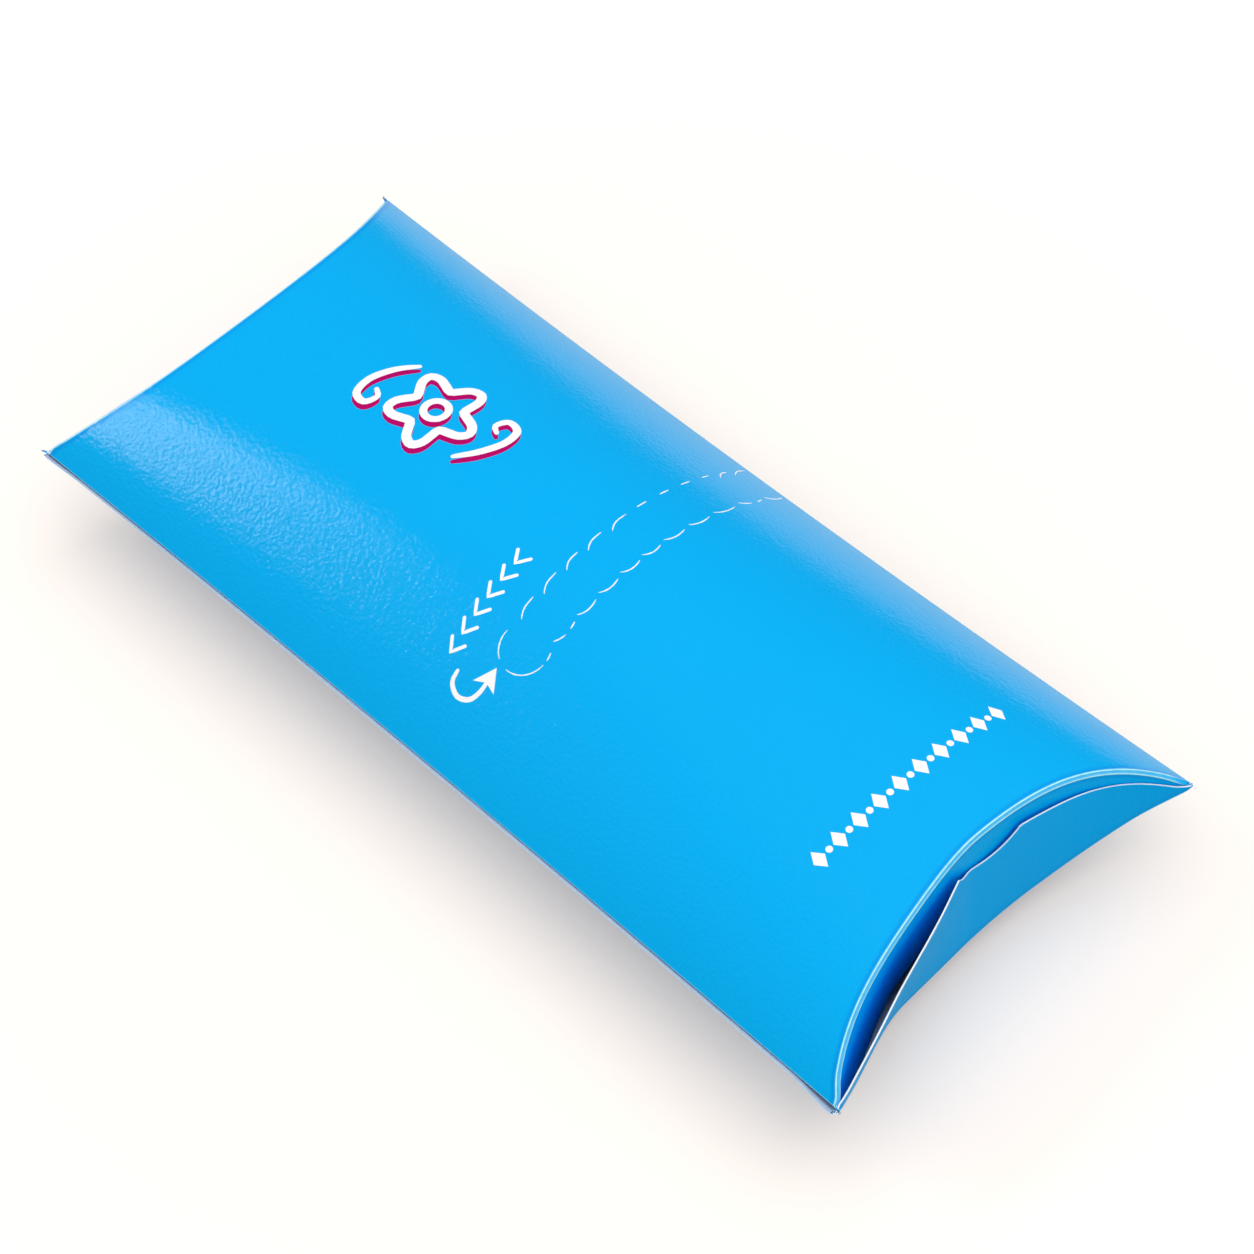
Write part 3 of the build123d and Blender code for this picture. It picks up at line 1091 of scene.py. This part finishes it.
def dashGuide():
    verts, edges = [], []
    for path in dashPaths():
        plan = toPlan(path)
        plan = plan[plan[:, 1] < strip["endAt"] * halfWidth(0)]
        if len(plan) < 3:
            continue
        s = plan[:, 1] / halfWidth(plan[:, 0])
        points = topSkin(plan[:, 0], s) - skinNormal(topSkin, plan[:, 0], s, 1) * dash["sunk"]
        start = len(verts)
        verts += [(x * mm, y * mm, (z + form["belly"]) * mm) for x, y, z in points]
        edges += [(start + k, start + k + 1) for k in range(len(points) - 1)]
    mesh = bpy.data.meshes.new("perforationGuide")
    mesh.from_pydata(verts, edges, [])
    return added("perforationGuide", mesh)


def dashNodes():
    sort = "NodeSocketGeometry"
    inputs = {"Geometry": sort, "Radius": 0.0002, "Taper": 0.5, "Seed": 1, "Material": "NodeSocketMaterial"}
    tree, inp, out = newGroup("cutDashes", inputs, ("Geometry",), "GeometryNodeTree", sort)
    curve = node(tree, "GeometryNodeMeshToCurve")
    resample = node(tree, "GeometryNodeResampleCurve", {"Length": dash["step"] * mm}, mode="LENGTH")
    factor = node(tree, "GeometryNodeSplineParameter")
    centred = maths(tree, "SUBTRACT", in_1=0.5)
    away = maths(tree, "ABSOLUTE")
    doubled = maths(tree, "MULTIPLY", in_1=2.0)
    shaped = maths(tree, "POWER", in_1=3.0)
    tapered = maths(tree, "MULTIPLY")
    kept = maths(tree, "SUBTRACT", in_0=1.0)
    least, most = dash["uneven"]
    rough = node(tree, "FunctionNodeRandomValue", in_2=least, in_3=most)
    uneven = maths(tree, "MULTIPLY")
    radius = maths(tree, "MULTIPLY")
    circle = node(tree, "GeometryNodeCurvePrimitiveCircle", {"Resolution": dash["sides"], "Radius": 1.0})
    toMesh = node(tree, "GeometryNodeCurveToMesh", {"Fill Caps": True})
    realize = node(tree, "GeometryNodeRealizeInstances")
    paint = node(tree, "GeometryNodeSetMaterial")
    wire(
        tree,
        (inp, "Geometry", curve, "Mesh"), (curve, "Curve", resample, "Curve"), (factor, "Factor", centred, 0),
        (centred, 0, away, 0), (away, 0, doubled, 0), (doubled, 0, shaped, 0), (shaped, 0, tapered, 0),
        (inp, "Taper", tapered, 1), (tapered, 0, kept, 1), (inp, "Seed", rough, "Seed"), (kept, 0, uneven, 0),
        (rough, 1, uneven, 1), (uneven, 0, radius, 0), (inp, "Radius", radius, 1),
        (resample, "Curve", toMesh, "Curve"), (circle, "Curve", toMesh, "Profile Curve"), (radius, 0, toMesh, "Scale"),
        (toMesh, "Mesh", realize, "Geometry"), (realize, "Geometry", paint, "Geometry"),
        (inp, "Material", paint, "Material"), (paint, "Geometry", out, "Geometry"),
    )
    return tree


def dashes():
    guide = dashGuide()
    modifier = guide.modifiers.new("cutDashes", "NODES")
    modifier.node_group = dashNodes()
    values = {"Radius": dash["radius"] * mm, "Taper": dash["taper"], "Seed": dash["seed"], "Material": cutEdge}
    for item in modifier.node_group.interface.items_tree:
        if item.in_out == "INPUT" and item.name in values:
            modifier[item.identifier] = values[item.name]
    bpy.context.view_layer.update()
    graph = bpy.context.evaluated_depsgraph_get()
    mesh = bpy.data.meshes.new_from_object(guide.evaluated_get(graph))
    mesh.name = "perforation"
    bpy.data.objects.remove(guide)
    return added("perforation", mesh)


perforationPiece = dashes()
print("stage: perforation", len(perforationPiece.data.vertices))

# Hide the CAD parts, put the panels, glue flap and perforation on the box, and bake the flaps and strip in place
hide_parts("top_panel")
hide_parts("bottom_panel")
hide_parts("glue_flap")
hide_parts("tear_strip")
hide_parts("near_outer_flap")
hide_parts("near_inner_flap")
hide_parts("far_outer_flap")
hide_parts("far_inner_flap")
for piece in (topPanel, bottomPanel, gluePiece, perforationPiece):
    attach(piece, "box")
for end, label in ((1, "near"), (-1, "far")):
    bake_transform(flaps[f"{label}_outer"])
    high = (end * 0.10303, 0.0, 0.0372)
    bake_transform(flaps[f"{label}_inner"])
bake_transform(tearStrip)
print("stage: motion")

# Floor, light and camera
studio = {
    "floor": (0.85, 0.8, 0.745),
    "bounce": (0.43, 0.41, 0.38),  # the floor's colour for the light that it throws back
    "glowTint": (1.15, 1.0, 0.97, 1),
    "glow": 0.2,  # of the floor near the box, for the camera alone
    "farGlow": 0.9,
    "glowReach": (0.14, 1.0),
    "floorHalf": 3,
    "fill": 0.6,
    "fillTint": (1.04, 0.99, 0.95),
    "ceiling": 0.0,
    "horizon": (-0.02, 0.04),
}
lamps = {  # place, aim, size, watts, tint, roll, and whether it shows as a highlight
    "topBox": ((0.12, 0.3, 1.15), (0, 0, 0), (1.5, 1.5), 7.4, (0.95, 1.01, 1.06), 0, False),
    "frontBox": ((1.1, -0.25, 0.5), (0.1, 0, 0.02), (0.8, 0.5), 2.1, (1, 1, 1), 0, False),
    "leftBox": ((-0.823, -0.4555, 0.779), (-0.07, -0.03, 0.02), (0.52, 0.17), 2.1, (1, 1, 1), -39, True),
}


def anyRay(tree, path, kinds):
    # output that is 1 for a ray of one of these kinds
    last = (path, kinds[0])
    for kind in kinds[1:]:
        seen = maths(tree, "MAXIMUM")
        wire(tree, (*last, seen, 0), (path, kind, seen, 1))
        last = (seen, 0)
    return last


def floor():
    half = studio["floorHalf"]
    mesh = bpy.data.meshes.new("floor")
    mesh.from_pydata([(-half, -half, 0), (half, -half, 0), (half, half, 0), (-half, half, 0)], [], [(0, 1, 2, 3)])
    values = {"Roughness": 0.9, "Specular IOR Level": 0.1, "Emission Color": studio["glowTint"]}
    material, tree, shader = principled("paleFloor", values)
    path = node(tree, "ShaderNodeLightPath")
    tone = mixed(tree, studio["bounce"], studio["floor"])
    place = node(tree, "ShaderNodeNewGeometry")
    away = node(tree, "ShaderNodeVectorMath", operation="LENGTH")
    near, far = studio["glowReach"]
    glow = node(tree, "ShaderNodeMapRange", in_1=near, in_2=far, in_3=studio["glow"], in_4=studio["farGlow"])
    lift = maths(tree, "MULTIPLY")
    seen = anyRay(tree, path, ("Is Camera Ray", "Is Glossy Ray", "Is Transmission Ray"))
    wire(
        tree,
        (*seen, tone, 0), (tone, 2, shader, "Base Color"), (place, "Position", away, 0), (away, "Value", glow, 0),
        (path, "Is Camera Ray", lift, 0), (glow, 0, lift, 1), (lift, 0, shader, "Emission Strength"),
    )
    mesh.materials.append(material)
    added("floor", mesh)


def softBox(name, place, aim, size, watts, colour, roll, shows):
    lamp = bpy.data.lights.new(name, "AREA")
    lamp.shape = "RECTANGLE"
    lamp.size, lamp.size_y = size
    lamp.energy = watts
    lamp.color = colour
    obj = added(name, lamp)
    obj.location = place
    turn = (Vector(aim) - Vector(place)).to_track_quat("-Z", "Y").to_matrix()
    obj.rotation_euler = (turn @ Matrix.Rotation(math.radians(roll), 3, "Z")).to_euler()
    obj.visible_glossy = shows


def world():
    sky = bpy.data.worlds.new("studio")
    sky.use_nodes = True
    tree = sky.node_tree
    back = tree.nodes["Background"]
    tint = mixed(tree, studio["fillTint"], (1, 1, 1))
    path = node(tree, "ShaderNodeLightPath")
    coords = node(tree, "ShaderNodeTexCoord")
    axes = node(tree, "ShaderNodeSeparateXYZ")
    low, high = studio["horizon"]
    horizon = node(tree, "ShaderNodeMapRange", in_1=low, in_2=high, in_3=1.0, in_4=studio["ceiling"])
    gloss = node(tree, "ShaderNodeMix", data_type="FLOAT", in_2=studio["fill"])
    level = node(tree, "ShaderNodeMix", data_type="FLOAT", in_3=1.0)
    seen = anyRay(tree, path, ("Is Camera Ray", "Is Transmission Ray"))
    wire(
        tree,
        (*seen, tint, 0), (tint, 2, back, "Color"), (coords, "Generated", axes, 0), (axes, "Z", horizon, 0),
        (path, "Is Glossy Ray", gloss, 0), (horizon, 0, gloss, 3), (*seen, level, 0), (gloss, 0, level, 2),
        (level, 0, back, "Strength"),
    )
    bpy.context.scene.world = sky


floor()
world()
for name, values in lamps.items():
    softBox(name, *values)

shot = {
    "place": (0.3799, -0.2783, 0.6272),
    "forward": (-0.48580, 0.36733, -0.79314),
    "up": (-0.53483, 0.59279, 0.60213),
    "lens": 107.29,
    "sensor": 36.0,
    "nearest": 0.01,
}
camera = bpy.data.cameras.new("camera")
camera.lens = shot["lens"]
camera.sensor_width = shot["sensor"]
camera.sensor_fit = "HORIZONTAL"
camera.clip_start = shot["nearest"]
eye = added("camera", camera)
forward, up = Vector(shot["forward"]).normalized(), Vector(shot["up"]).normalized()
right = forward.cross(up).normalized()
up = right.cross(forward)
turn = Matrix((right, up, -forward)).transposed()
eye.matrix_world = Matrix.Translation(shot["place"]) @ turn.to_4x4()
bpy.context.scene.camera = eye
bpy.context.scene.view_settings.view_transform = "Standard"

print("stage: done")
